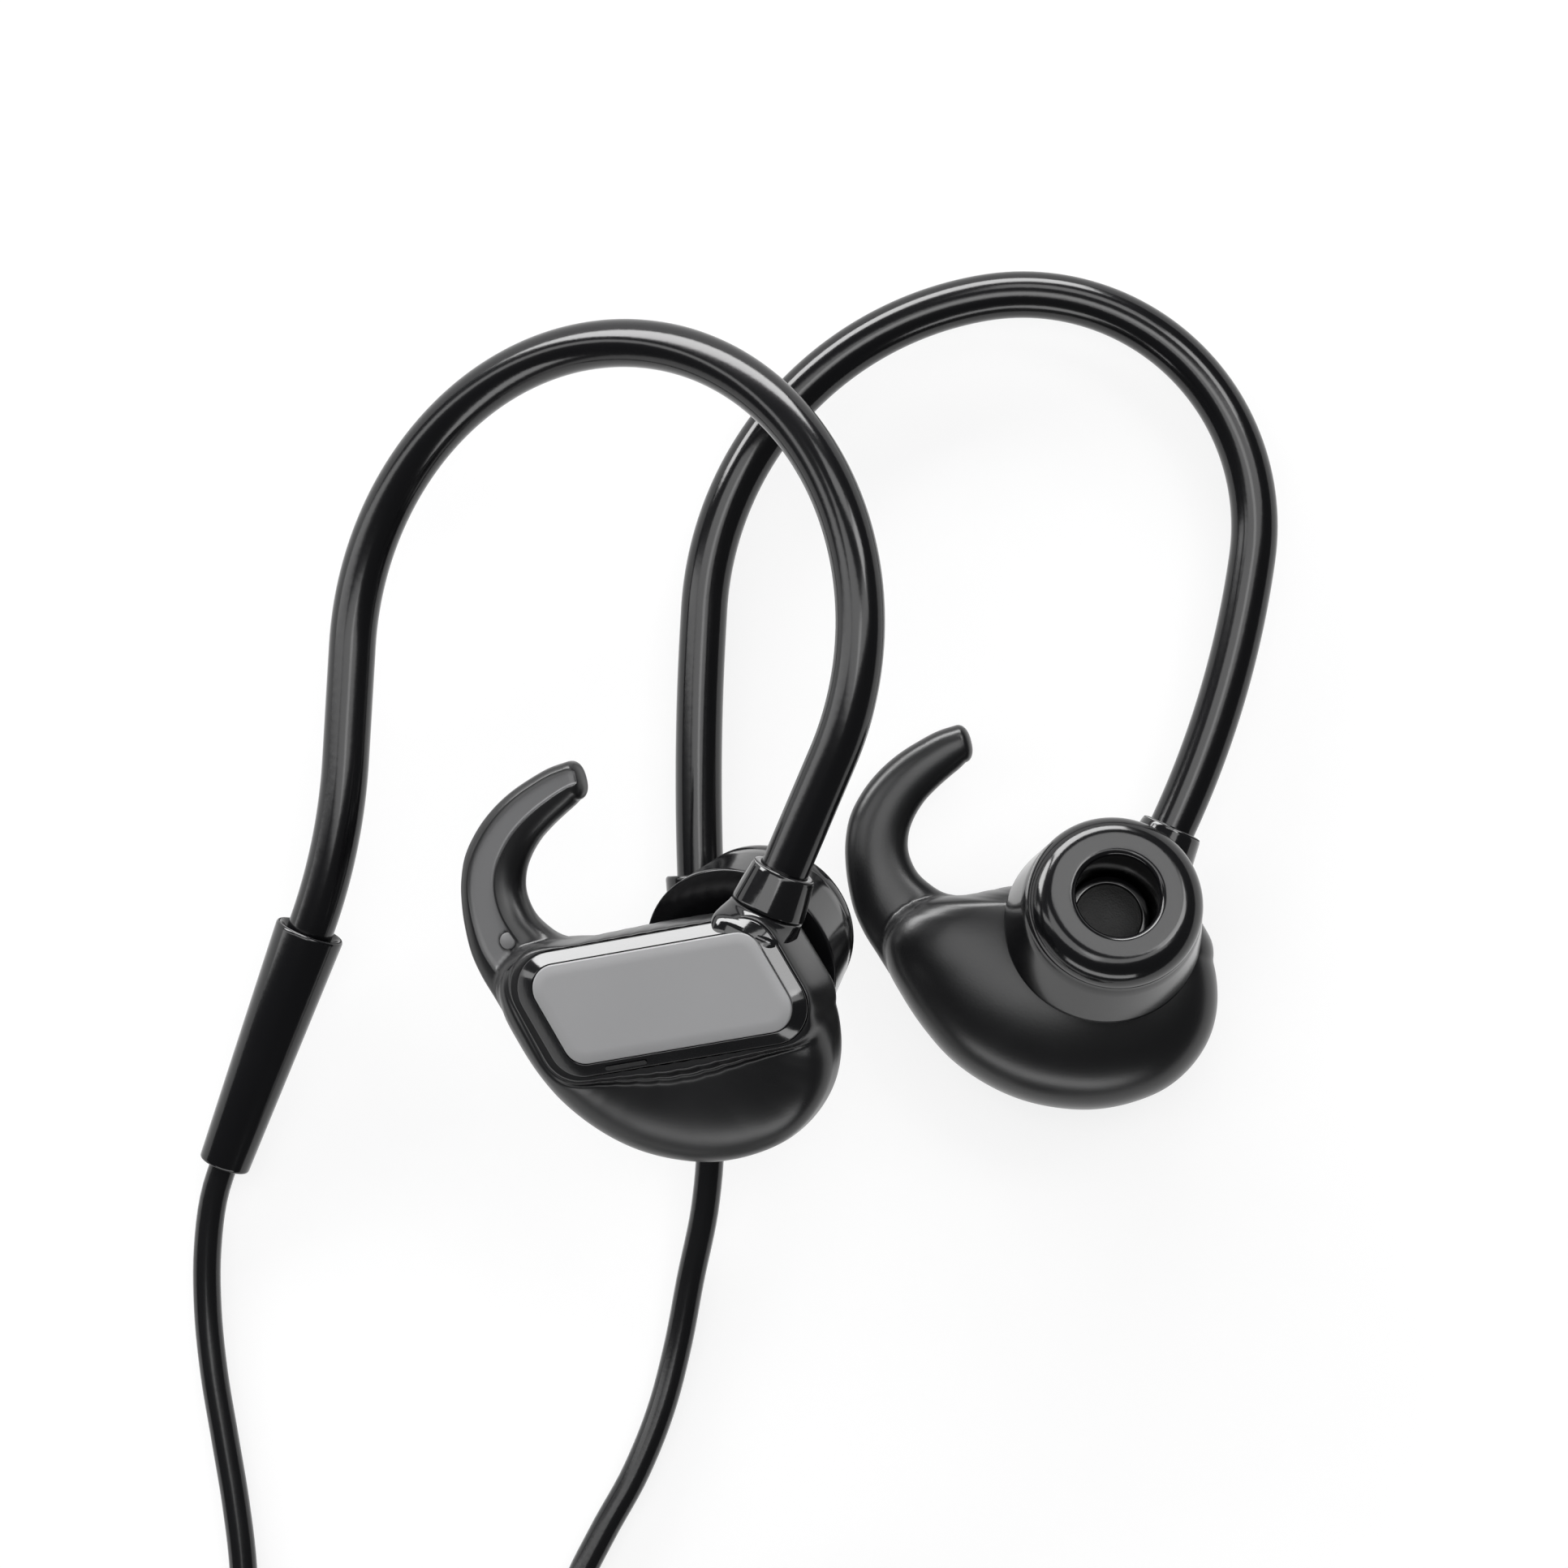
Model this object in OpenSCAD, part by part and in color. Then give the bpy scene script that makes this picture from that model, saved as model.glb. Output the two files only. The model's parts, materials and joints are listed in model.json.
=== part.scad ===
// Wired sports earphones: two mirrored earpieces with over-ear hooks, lying on a table,
// and a Y cable wound away in coils, with a 3.5 mm stereo plug.

/* [Ear hook] */
// Diameter of the soft hook tube
hook_d = 3.0; // [2.4:0.1:3.6]
// Diameter of the memory wire inside the hook
hook_wire_d = 0.8; // [0.4:0.1:1.2]
// Length of the sleeve that joins hook and cable
sleeve_len = 16.5; // [12:0.5:20]
// Diameter of the sleeve at its wide top
sleeve_top_d = 4.5; // [4.2:0.1:5.4]
// Diameter of the sleeve at its narrow end
sleeve_end_d = 3.3; // [3:0.1:4]
// How far the hook tube goes into the sleeve
sleeve_seat = 2.5; // [1.5:0.5:4]

/* [Housing] */
// Length of the face plate along its long edge
plate_w = 14.9; // [12:0.1:17]
// Length of the face plate's slanting edge
plate_side = 6.85; // [5:0.05:8]
// Corner radius of the face plate
plate_corner = 1.5; // [0.8:0.1:2.5]
// Thickness of the face plate
plate_t = 0.7; // [0.5:0.1:1.2]
// Width of the glossy bezel round the plate
bezel_w = 0.95; // [0.6:0.05:1.4]
// Wall of the rear shell
shell_wall = 0.8; // [0.6:0.1:1.2]
// Wall of the silicone cover round the shells
cover_wall = 1.4; // [1:0.1:2]
// Diameter of the neck that carries the hook
neck_d = 4.8; // [4.2:0.1:5.4]
// Length of the collar on the neck
collar_len = 2.7; // [2:0.1:4]
// Diameter of the moulding peg on the wing
peg_d = 1.15; // [0.8:0.05:1.6]

/* [Wing] */
// Radius of the wing's outer edge
wing_r = 8.5; // [7:0.1:10]
// Width of the wing at its root
wing_root_w = 4.2; // [3:0.1:5]
// Width of the wing at its tip
wing_tip_w = 2.6; // [2:0.1:3.6]
// Thickness of the wing
wing_t = 3.2; // [2:0.1:4]

/* [Ear tip] */
// Diameter of the soft skirt at its rim
tip_d = 12.6; // [10:0.2:15]
// Length of the ear tip
tip_len = 6.8; // [5:0.1:9]
// Thickness of the skirt
tip_wall = 0.6; // [0.4:0.1:1]
// Diameter of the sound nozzle
nozzle_d = 5.2; // [4:0.1:6]
// Length of the nozzle above the rear shell
nozzle_len = 3.3; // [2.6:0.1:4.5]
// Wall of the nozzle
nozzle_wall = 0.5; // [0.4:0.1:0.8]
// Running clearance between the nozzle and the tip's core
tip_fit = 0.05; // [0.02:0.01:0.09]

/* [Driver] */
// Diameter of the driver
driver_d = 8.4; // [6:0.1:9]
// Height of the driver frame
driver_h = 2.0; // [1.5:0.1:2.4]

/* [Cable] */
// Diameter of the thin cable
cord_d = 1.8; // [1.4:0.1:2.2]
// Spacing of the turns in a coil
coil_pitch = 2.3; // [2.3:0.1:2.8]
// Width of a cable tie
tie_w = 3; // [2:0.5:5]
// Thickness of a cable tie
tie_t = 0.5; // [0.4:0.1:0.5]
// Length of the splitter body
splitter_len = 12; // [10:0.5:12]

/* [Plug] */
// Diameter of the plug's shaft
plug_d = 3.5; // [3.5:0.1:3.5]
// Length of the plug's shaft
plug_len = 14; // [14:0.5:15]
// Diameter of the plug's grip
grip_d = 6.4; // [5.5:0.1:6.4]
// Length of the plug's grip
grip_len = 15; // [12:0.5:18]

/* [Hidden] */
$fn = 48;

gap = 0.02;          // assembly gap between pieces of one body
eps = 0.01;
down = [0, -1, 0];
hook_r = hook_d / 2;
wire_r = hook_wire_d / 2;
cord_r = cord_d / 2;

// Heights in the earpiece's own frame: z = 0 is its middle plane and +z its face side
face_z = 4.6;                        // outer face of the plate
bezel_z = face_z - 0.1;              // top of the bezel
bezel_chamfer = 0.5;
plate_floor_z = face_z - plate_t;
flange_z = 2.0;                      // top of the face shell's flange, under the cover's lip
split_z = 1.2;                       // where the face shell sits on the rear shell
cavity_z = 2.4;                      // roof of the hollow inside the face shell
pocket_z = -3.0;                     // floor of the cover's pocket
rear_floor = 1.0;                    // floor thickness of the rear shell
inner_z = pocket_z + rear_floor;     // inside floor of the rear shell

// Body outline: four circles, [x, y, radius]
lobe = [2.5, -2.3, 7.95];
chin = [-1.45, -4.05, 5.2];
wing_root = [-7.0, 0.6, 3.5];
shoulder = [4.8, 1.45, 3.75];

corner_min = 1.8;                    // least radius of a corner of the skin
lip_ledge = 0.2;                     // how far the bezel's opening is cut into the wall of the pocket
skin_band = 0.08;                    // upright band at each step of the skin

// The outer skin of the cover as [height, inset] steps from the ear side to the face side
skin_steps = [[-4.6, 3.2], [-4.1, 1.5], [-2.9, 0.4], [-0.6, 0], [1.4, 0.15], [2.7, 0.8], [3.5, 2.7]];

// Face plate: a leaning parallelogram
plate_at = [1.1, 0];
plate_rise = 10;                     // tilt of its long edges
plate_slant = 120.5;                 // direction of its short edges

// Vent: a slot in the bezel below the plate, along and across from the plate's middle
slot_at = [-4.36, -3.8];
slot_len = 2.4;                      // between the middles of its round ends
slot_r = 0.15;
slot_deep = 0.8;
vent_t = 0.4;                        // thickness of the mesh on its floor

driver_at = [2.3, -1.9];             // middle of the driver, under the big lobe
driver_seat_h = 0.9;                 // height of the ring it rests on
magnet_r = 2.8;
magnet_sink = 0.6;                   // how deep the magnet sits in the frame

// Nozzle: a frame on the ear side of the body, leaning up and outwards
nozzle_at = [3.1, 1.3, -4.2];
nozzle_up_lean = 19.3;
nozzle_side_lean = 5.7;
tip_gap = 0.7;                       // from the nozzle's base to the skirt's rim
core_seat = 1.1;                     // from the nozzle's base to the tip's core
nozzle_root = 2.4;                   // from the nozzle's base back into the rear shell

// Neck and collar: [x, y, z] of the collar's top, and the direction of its axis
collar_top = [8.0, 7.85, 1.0];
neck_turn = 65;
neck_len = 3.6;                      // from the seam back into the housing
collar_floor = 0.6;
lead_hole_r = 0.6;

// Wing: a crescent about wing_at, from its root to its tip
wing_at = [-4.05, 6.1];
wing_start = 238;
wing_end = 103;
wing_z = 0.4;
wing_rings = 16;
wing_sides = 12;
peg_at = [-9.7, 3.5];

// Hooks as runs of bends, [radius, turn] for a bend and [0, length] for a straight
into_collar = collar_len - collar_floor;
left_run = [[0, into_collar + 7.5], [18.1, 103.3], [19.3, 99.7], [0, 7.3], [-31.4, -20.5]];
right_run = [[0, into_collar], [61, 17], [14.9, 107.4], [21.6, 77.4], [0, 1.4], [169, 5.3]];

// Where each collar's top is on the table, and how its earpiece is turned
left_at = [2.9, -9.1, 22.8];
left_roll = 17;
left_pitch = 4;
left_twist = -15.8;
right_at = [27.8, -6.7, face_z - collar_top[2]];
right_twist = 2;

// Cable routes over the table, at the cable's centre
coil_z = cord_r + tie_t + 0.15;
left_lead_route = [
    [-33.0, -27.7, 2.1], [-33.9, -30.4, 1.6], [-34.4, -34.0, 1.2], [-34.4, -38.0, 1.0], [-34.0, -42.0, 1.0],
    [-33.3, -46.2, 1.0], [-32.6, -50.4, 1.0], [-32.1, -54.8, 1.0], [-32.1, -59.2, 1.0], [-32.6, -63.6, 1.2],
    [-33.3, -68.0, 1.5], [-33.6, -72.6, 1.55]
];
left_tail_route = [
    [-33.6, -76.2, 3.85], [-33.5, -80.4, 3.4], [-32.3, -84.7, 2.4], [-29.9, -88.4, 1.6], [-26.7, -91.6, 1.3],
    [-23.6, -94.6, 1.4], [-21.5, -98.0, 1.7], [-21.0, -101.4, 1.8]
];
right_lead_route = [
    [-2.0, -25.0, 2.9], [-1.9, -26.6, 2.9], [-2.2, -31.0, 2.2], [-3.2, -36.0, 1.3], [-4.0, -40.2, 1.0],
    [-5.1, -44.4, 1.0], [-6.8, -48.6, 1.0], [-8.9, -52.4, 1.0], [-10.7, -56.2, 1.0], [-11.4, -59.8, 1.0],
    [-10.8, -63.4, 1.1], [-8.9, -66.6, 1.3], [-6.8, -69.4, 1.5], [-5.8, -72.6, 1.55]
];
right_tail_route = [
    [-5.8, -76.2, 3.85], [-5.9, -80.4, 3.4], [-7.0, -84.8, 2.4], [-9.4, -88.6, 1.6], [-12.5, -91.8, 1.3],
    [-15.7, -94.6, 1.4], [-18.0, -97.7, 1.7], [-18.6, -101.4, 1.8]
];
main_lead_route = [[-19.8, -117.4, 1.8], [-19.8, -121.4, 1.6], [-19.8, -125.6, 1.55]];
main_tail_route = [
    [7.4, -125.6, 8.45], [7.6, -121.2, 7.8], [8.2, -116.8, 6.0], [9.1, -112.4, 4.2], [10.3, -108.0, 2.6],
    [11.6, -103.6, 1.6], [13.4, -99.3, 1.2], [16.2, -95.7, 1.1], [19.8, -94.7, 1.5], [22.6, -96.7, 2.5],
    [23.7, -100.4, 3.2]
];

// Coils: [centre, turns in a layer, layers, middle radius]
left_coil_spec = [[-21.3, -74.4], 2, 2, 10];
right_coil_spec = [[6.5, -74.4], 2, 2, 10];
main_coil_spec = [[-6.2, -127.4], 3.125, 4, 10.00625];
coil_steps = 24;
coil_sides = 6;
cord_sides = 8;
hook_step = 2.6;
hook_sides = 16;
wire_sides = 8;

splitter_at = [-19.8, -101.4, 1.8];
branch_gap = 2.4;
splitter_relief = 4;
plug_at = [23.7, -100.4, 3.2];
relief_len = 8;
ring_len = 2.4;
insulator_len = 0.5;
plug_point_len = 3.8;

// ---------- placing ----------

// Places an earpiece's own frame on the table, held by its collar
module left_place() { translate(left_at) rotate([left_pitch, -left_roll, 0]) translate(-collar_top) children(); }
module right_place() { translate(right_at) mirror([0, 0, 1]) translate(-collar_top) children(); }

// +z out along the nozzle, from its base
module on_nozzle() { translate(nozzle_at) rotate([nozzle_up_lean, -nozzle_side_lean, 0]) rotate([180, 0, 0]) children(); }

// +y up along the neck, from the seam between neck and collar
module on_neck(back = collar_len) { translate(collar_top) rotate([0, 0, neck_turn - 90]) translate([0, -back, 0]) children(); }

// The hook's own plane, turned about the neck's axis
module on_hook(twist) { on_neck(into_collar) rotate([0, twist, 0]) children(); }

// Carries its children past the first n steps of a run of bends
module past(run, n) {
    if (n == 0) children();
    else past(run, n - 1) {
        step = run[n - 1];
        if (step[0] == 0) translate([0, step[1], 0]) children();
        else translate([-step[0], 0, 0]) rotate(step[1]) translate([step[0], 0, 0]) children();
    }
}

// ---------- shared shapes ----------

// The body's rim, drawn in by inset but never to a sharp corner
module body_outline(inset = 0) {
    hull() for (c = [lobe, chin, wing_root, shoulder]) translate([c[0], c[1]]) circle(max(c[2] - inset, corner_min), $fn = 24);
}

module plate_outline() {
    long = (plate_w / 2 - plate_corner) * [cos(plate_rise), sin(plate_rise)];
    short = (plate_side / 2 - plate_corner) * [cos(plate_slant), sin(plate_slant)];
    translate(plate_at) hull() for (i = [-1, 1], j = [-1, 1]) translate(i * long + j * short) circle(plate_corner, $fn = 24);
}

// Skin over a list of rings, each a list of as many points, closed at both ends
module skin(rings) {
    n = len(rings[0]);
    m = len(rings);
    sides = [for (i = [0:m - 2], k = [0:n - 1]) each [
        [i * n + k, i * n + (k + 1) % n, (i + 1) * n + (k + 1) % n],
        [i * n + k, (i + 1) * n + (k + 1) % n, (i + 1) * n + k]
    ]];
    first = [for (k = [1:n - 2]) [0, k + 1, k]];
    last = [for (k = [1:n - 2]) [(m - 1) * n, (m - 1) * n + k, (m - 1) * n + k + 1]];
    polyhedron(points = [for (r = rings) each r], faces = concat(sides, first, last), convexity = 8);
}

function unit(v) = v / norm(v);

// Ring of radius r about point p, square to direction t
function tube_ring(p, t, r, n) =
    let (side = unit(cross(t, [0, 0, 1])), up = cross(side, t))
    [for (k = [0:n - 1]) p + r * (cos(360 * (k + 0.5) / n) * side + sin(360 * (k + 0.5) / n) * up)];

// Directions along a route: its neighbours' difference, and straight ahead at its ends
function route_dir(route, i, first, last) =
    i == 0 ? first : i == len(route) - 1 ? last : unit(route[i + 1] - route[i - 1]);

module cord(route, r, n, first, last) {
    skin([for (i = [0:len(route) - 1]) tube_ring(route[i], route_dir(route, i, first, last), r, n)]);
}

// Place and heading, [x, y, angle], at fraction f of one step of a run of bends
function along(s, step, f) =
    step[0] == 0 ? [s[0] + f * step[1] * cos(s[2]), s[1] + f * step[1] * sin(s[2]), s[2]]
    : let (a = s[2] + f * step[1])
        [s[0] + step[0] * (sin(a) - sin(s[2])), s[1] - step[0] * (cos(a) - cos(s[2])), a];

function step_len(step) = step[0] == 0 ? step[1] : abs(step[0] * step[1]) * PI / 180;

// Places and headings along a whole run, about hook_step apart
function run_points(run, s = [0, 0, 90], i = 0) =
    i == len(run) ? [s]
    : let (count = run[i][0] == 0 ? 1 : ceil(step_len(run[i]) / hook_step))
        concat([for (k = [0:count - 1]) along(s, run[i], k / count)], run_points(run, along(s, run[i], 1), i + 1));

// Round tube along a run, longer by before and after at its two ends
module run_tube(run, r, n, before = 0, after = 0) {
    straight = [[0, before]];
    points = run_points(concat(before > 0 ? straight : [], run, after > 0 ? [[0, after]] : []), [0, -before, 90]);
    skin([for (p = points) tube_ring([p[0], p[1], 0], [cos(p[2]), sin(p[2]), 0], r, n)]);
}

// ---------- coils ----------

// 0 at the outer turns and 1 at the inner turns, for turn u of a pile with n turns in a layer
function sweep_in(u, n) = let (v = u - 2 * n * floor(u / (2 * n))) v < n ? v / n : 2 - v / n;

// Height in layers: flat, with a smooth climb in the half turn about each reversal
function climb(u, n, layers) =
    let (k = floor(u / n + 0.5), w = u - k * n)
    k == 0 ? 0 : k >= layers ? layers - 1
    : w < -0.25 ? k - 1 : w > 0.25 ? k : k - 0.5 - 0.5 * cos(180 * (w + 0.25) / 0.5);

function coil_out(spec) = spec[3] + coil_pitch * spec[1] / 2;

// Centre line of a coil wound anticlockwise from its left side, with a straight lead at each end
function coil_route(spec) =
    let (n = spec[1], turns = n * spec[2], out = coil_out(spec), steps = round(turns * coil_steps))
    let (loop = [for (i = [0:steps]) let (u = i / coil_steps, r = out - coil_pitch * n * sweep_in(u, n), a = 180 + 360 * u)
        [spec[0][0] + r * cos(a), spec[0][1] + r * sin(a), coil_z + coil_pitch * climb(u, n, spec[2])]])
    let (way_out = [0, cos(180 + 360 * turns), 0])
    concat([loop[0] + [0, cord_d, 0]], loop, [loop[steps] + cord_d * way_out]);

// Least gap of a coil to itself, between points at least half a turn apart
function coil_gap(route) = min([for (i = [0:len(route) - 1]) for (j = [i + coil_steps / 2:len(route) - 1])
    norm(route[i] - route[j])]) - cord_d;

function route_len(route, i = 1, sum = 0) =
    i == len(route) ? sum : route_len(route, i + 1, sum + norm(route[i] - route[i - 1]));

module coil(spec) {
    route = coil_route(spec);
    cord(route, cord_r, coil_sides, [0, -1, 0], unit(route[len(route) - 1] - route[len(route) - 2]));
}

// Flat band round the pile of turns, on the coil's far side
module coil_tie(spec) {
    side_gap = 0.4;
    deep = coil_pitch * spec[1] + cord_d + 2 * side_gap;
    high = coil_pitch * (spec[2] - 1) + cord_d + 0.3;
    translate([spec[0][0] + tie_w / 2, spec[0][1] - spec[3], tie_t + high / 2]) rotate([0, -90, 0]) linear_extrude(tie_w)
        difference() {
            offset(r = 1, $fn = 16) square([high + 2 * tie_t - 2, deep + 2 * tie_t - 2], center = true);
            offset(r = 0.5, $fn = 16) square([high - 1, deep - 1], center = true);
        }
}

// ---------- earpiece pieces, each in the earpiece's own frame ----------

// Rounded body: a hull over the outline's insets
module cover_form() {
    hull() for (s = skin_steps) translate([0, 0, s[0]]) linear_extrude(skin_band) body_outline(s[1]);
}

// Crescent wing: flattened rings along an arc, drawn in to a round end
module wing_form() {
    skin([for (i = [0:wing_rings])
        let (f = i / wing_rings, a = wing_start + (wing_end - wing_start) * f,
            taper = wing_root_w + (wing_tip_w - wing_root_w) * f,
            end = f < 0.9 ? 1 : sqrt(max(0.02, 1 - pow((f - 0.9) / 0.1, 2))),
            w = taper / 2 * end, h = wing_t / 2 * (1 - 0.2 * f) * end,
            mid = wing_r - taper / 2)
        [for (k = [0:wing_sides - 1]) let (b = 360 * k / wing_sides, r = mid + w * cos(b))
            [wing_at[0] + r * cos(a), wing_at[1] + r * sin(a), wing_z - h * sin(b)]]]);
}

module pocket_outline() { offset(delta = -cover_wall) body_outline(); }
module bezel_outline() { offset(delta = bezel_w) plate_outline(); }
module neck_room(extra, sides = $fn) { on_neck() rotate([90, 0, 0]) cylinder(h = neck_len, r = neck_d / 2 + extra, $fn = sides); }

module cover() {
    color("#2b2b2d") difference() {
        union() {
            cover_form();
            wing_form();
        }
        translate([0, 0, pocket_z]) linear_extrude(flange_z - pocket_z) pocket_outline();
        translate([0, 0, flange_z - lip_ledge]) linear_extrude(face_z) offset(delta = gap) bezel_outline();
        neck_room(0.12, 14);
        on_nozzle() translate([0, 0, -2]) cylinder(h = 5, r = nozzle_d / 2 + 0.3, $fn = 18);
        translate([peg_at[0], peg_at[1], 0.9]) cylinder(h = 3, r = peg_d / 2 + gap, $fn = 24);
    }
}

module wing_peg() { color("#55565a") translate([peg_at[0], peg_at[1], 0.9 + gap]) cylinder(h = 1.15, r = peg_d / 2, $fn = 24); }

module slot_outline() {
    translate(plate_at) rotate(plate_rise) translate(slot_at)
        hull() for (i = [-1, 1]) translate([i * slot_len / 2, 0]) circle(slot_r, $fn = 12);
}

// Face half of the housing: flange, bezel, plate recess and neck
module face_shell() {
    color("#17171a") difference() {
        union() {
            translate([0, 0, split_z]) linear_extrude(flange_z - gap - split_z) offset(delta = -gap) pocket_outline();
            hull() {
                translate([0, 0, flange_z - gap - eps]) linear_extrude(bezel_z - bezel_chamfer - flange_z) bezel_outline();
                translate([0, 0, bezel_z - eps]) linear_extrude(eps) offset(delta = -bezel_chamfer) bezel_outline();
            }
            neck_room(0);
        }
        translate([0, 0, plate_floor_z]) linear_extrude(plate_t + 1) offset(delta = gap) plate_outline();
        translate([0, 0, pocket_z]) linear_extrude(cavity_z - pocket_z) offset(delta = -shell_wall) pocket_outline();
        translate([0, 0, bezel_z - slot_deep]) linear_extrude(slot_deep + 1) slot_outline();
        on_neck() rotate([90, 0, 0]) translate([0, 0, -1]) cylinder(h = neck_len + 2, r = lead_hole_r);
    }
}

module face_plate() {
    color("#868686") translate([0, 0, plate_floor_z + gap]) linear_extrude(plate_t - gap) plate_outline();
}

module vent_mesh() { color("#101012") translate([0, 0, bezel_z - slot_deep + gap]) linear_extrude(vent_t) slot_outline(); }

// Ear half of the housing: a tray with the driver's seat, and the sound nozzle
module rear_shell() {
    color("#1b1b1e") difference() {
        union() {
            difference() {
                union() {
                    translate([0, 0, pocket_z + gap]) linear_extrude(split_z - pocket_z - 2 * gap) offset(delta = -gap) pocket_outline();
                    on_nozzle() translate([0, 0, -nozzle_root]) cylinder(h = nozzle_len + nozzle_root, r = nozzle_d / 2);
                }
                translate([0, 0, inner_z]) linear_extrude(8) offset(delta = -shell_wall) pocket_outline();
            }
            translate([driver_at[0], driver_at[1], inner_z - eps]) difference() {
                cylinder(h = driver_seat_h + eps, r = driver_d / 2 + 0.3);
                translate([0, 0, -1]) cylinder(h = 3, r = driver_d / 2 - 0.4);
            }
        }
        on_nozzle() translate([0, 0, -nozzle_root - 1]) cylinder(h = nozzle_len + nozzle_root + 2, r = nozzle_d / 2 - nozzle_wall);
        neck_room(gap);
    }
}

module nozzle_mesh() {
    color("#3c3c40") on_nozzle() translate([0, 0, nozzle_len - 0.5]) cylinder(h = 0.3, r = nozzle_d / 2 - nozzle_wall - gap);
}

// +z up from the seat that the driver rests on
module on_driver(up = 0) { translate([driver_at[0], driver_at[1], inner_z + driver_seat_h + up]) children(); }

module driver_frame() {
    color("#9b9ba0") on_driver(gap) difference() {
        cylinder(h = driver_h, r = driver_d / 2);
        translate([0, 0, -eps]) cylinder(h = 0.5, r = driver_d / 2 - 0.6);
        translate([0, 0, driver_h - magnet_sink]) cylinder(h = 1, r = magnet_r);
    }
}

module magnet() { color("#c9cacc") on_driver(driver_h - magnet_sink + 2 * gap) cylinder(h = magnet_sink + 0.3, r = magnet_r - gap); }

module diaphragm() {
    edge_r = driver_d / 2 - 0.6 - gap;
    color("#d8c49a") on_driver(0.1) rotate_extrude()
        polygon([[0, -0.55], [1.2, -0.45], [2.2, -0.15], [2.6, 0.1], [edge_r, 0.1], [edge_r, 0.25], [2.5, 0.25], [2.1, 0.02], [1.15, -0.28], [0, -0.38]]);
}

// Mushroom ear tip: core and skirt, its outer curve one quarter of a superellipse
function quarter(r_in, r_out, high, n) = [for (i = [0:n]) let (a = 90 * i / n)
    [r_in + (r_out - r_in) * pow(cos(a), 0.66), high * pow(sin(a), 0.66)]];

module ear_tip() {
    core_r = nozzle_d / 2 + tip_fit;
    core_out = core_r + 0.7;
    outer = quarter(core_r + 0.5, tip_d / 2, tip_len, 14);
    inner = quarter(core_out, tip_d / 2 - tip_wall, tip_len - 0.9, 12);
    color("#161618") on_nozzle() translate([0, 0, tip_gap]) rotate_extrude($fn = 64) polygon(concat(
        outer, [[core_r, tip_len - 0.4], [core_r, core_seat - tip_gap], [core_out, core_seat - tip_gap]],
        [for (i = [len(inner) - 1:-1:0]) inner[i]]));
}

module collar() {
    color("#1c1c1f") on_neck() rotate([-90, 0, 0]) rotate_extrude() polygon([
        [lead_hole_r, gap], [neck_d / 2 + 0.1, gap], [neck_d / 2 + 0.1, 0.5], [neck_d / 2 - 0.3, collar_len - 0.2],
        [neck_d / 2 - 0.5, collar_len], [hook_r + gap, collar_len], [hook_r + gap, collar_floor], [lead_hole_r, collar_floor]]);
}

module hook_tube(run, twist) {
    color("#18181a") on_hook(twist) translate([0, gap, 0]) difference() {
        run_tube(run, hook_r, hook_sides, 0, sleeve_seat);
        run_tube(run, wire_r + 0.1, wire_sides, 1, sleeve_seat + 1);
    }
}

module hook_wire(run, twist) {
    color("#b8b8bc") on_hook(twist) run_tube(run, wire_r, wire_sides, 1.5, sleeve_seat + 1.5);
}

module sleeve(run, twist) {
    top_r = sleeve_top_d / 2;
    end_r = sleeve_end_d / 2;
    channel_r = wire_r + 0.1;
    color("#18181a") on_hook(twist) past(run, len(run)) rotate([-90, 0, 0]) rotate_extrude() polygon([
        [hook_r + 0.25, 0.3], [hook_r + 0.5, 0], [top_r - 0.15, 0], [top_r, 0.25], [end_r, sleeve_len - 0.5],
        [end_r - 0.35, sleeve_len], [cord_r + 0.15, sleeve_len], [cord_r + 0.15, sleeve_len - 1.6], [channel_r, sleeve_len - 1.6],
        [channel_r, sleeve_seat + 2 * gap], [hook_r + gap, sleeve_seat + 2 * gap], [hook_r + gap, 0.55]]);
}

// ---------- cable pieces ----------

module splitter() {
    w = branch_gap + cord_d + 2;
    color("#1a1a1c") translate(splitter_at) rotate([90, 0, 0]) {
        difference() {
            hull() {
                linear_extrude(eps) hull() for (i = [-1, 1]) translate([i * (w / 2 - 1.6), 0]) circle(1.6, $fn = 24);
                translate([0, 0, 1.2]) linear_extrude(3) hull() for (i = [-1, 1]) translate([i * (w / 2 - 1.75), 0]) circle(1.75, $fn = 24);
                translate([0, 0, splitter_len - 1]) linear_extrude(1) circle(1.7, $fn = 24);
            }
            translate([0, 0, splitter_len - 2]) cylinder(h = 3, r = 0.5, $fn = 24);
        }
        for (i = [0:2]) translate([0, 0, splitter_len + i * 1.2]) difference() {
            cylinder(h = 0.8, r = 1.55 - 0.1 * i, $fn = 32);
            translate([0, 0, -1]) cylinder(h = 3, r = 0.5, $fn = 24);
        }
        translate([0, 0, splitter_len - eps]) difference() {
            cylinder(h = splitter_relief + eps, r = 1.2, $fn = 32);
            translate([0, 0, -1]) cylinder(h = splitter_relief + 0.5, r = 0.5, $fn = 24);
        }
    }
}

// +z out towards the plug's point, from the start of its strain relief
module on_plug(along = 0) { translate(plug_at) rotate([90, 0, 0]) translate([0, 0, along]) children(); }

module plug_relief() {
    groove_r = 1.3;
    rib_pitch = 1.5;
    rib_t = 0.9;
    flange_r = 2.1;
    color("#161618") on_plug() rotate_extrude() polygon(concat(
        [[0, 0], [groove_r, 0]],
        [for (i = [0:3]) let (z = 0.8 + i * rib_pitch, r = 1.95 + 0.12 * i) each [[groove_r, z], [r, z], [r, z + rib_t], [groove_r, z + rib_t]]],
        [[groove_r, relief_len - 1], [flange_r, relief_len - 1], [flange_r, relief_len], [0, relief_len]]));
}

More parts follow.
